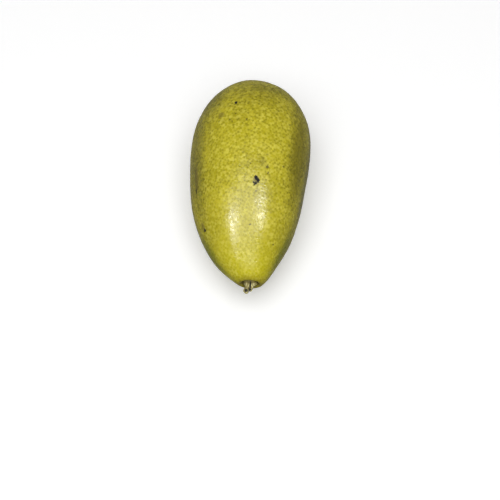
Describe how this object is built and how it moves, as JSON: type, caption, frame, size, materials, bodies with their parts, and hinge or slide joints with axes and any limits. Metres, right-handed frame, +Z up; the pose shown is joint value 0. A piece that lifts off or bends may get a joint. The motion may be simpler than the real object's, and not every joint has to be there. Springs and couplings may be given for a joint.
{
  "type": "lemon",
  "caption": "Whole long-bodied lemon lying on its side: blunt rounded blossom end, side tapering to a dimpled stem end with a dried button and broken stalk stump.",
  "frame": {"origin": "middle of the lemon's box in X and Y, on the surface it lies on", "axes": "+Y along the fruit from the stem end to the blossom end, +Z up; the fruit's own axis dips 3.5 degrees at the stem end, as it rests"},
  "size_m": [0.052, 0.1004, 0.0524],
  "materials": {
    "peel": "satin",
    "dried_stem": "matte"
  },
  "bodies": {
    "root": {"fruit": "peel", "stem_button": "dried_stem"}
  },
  "joints": []
}
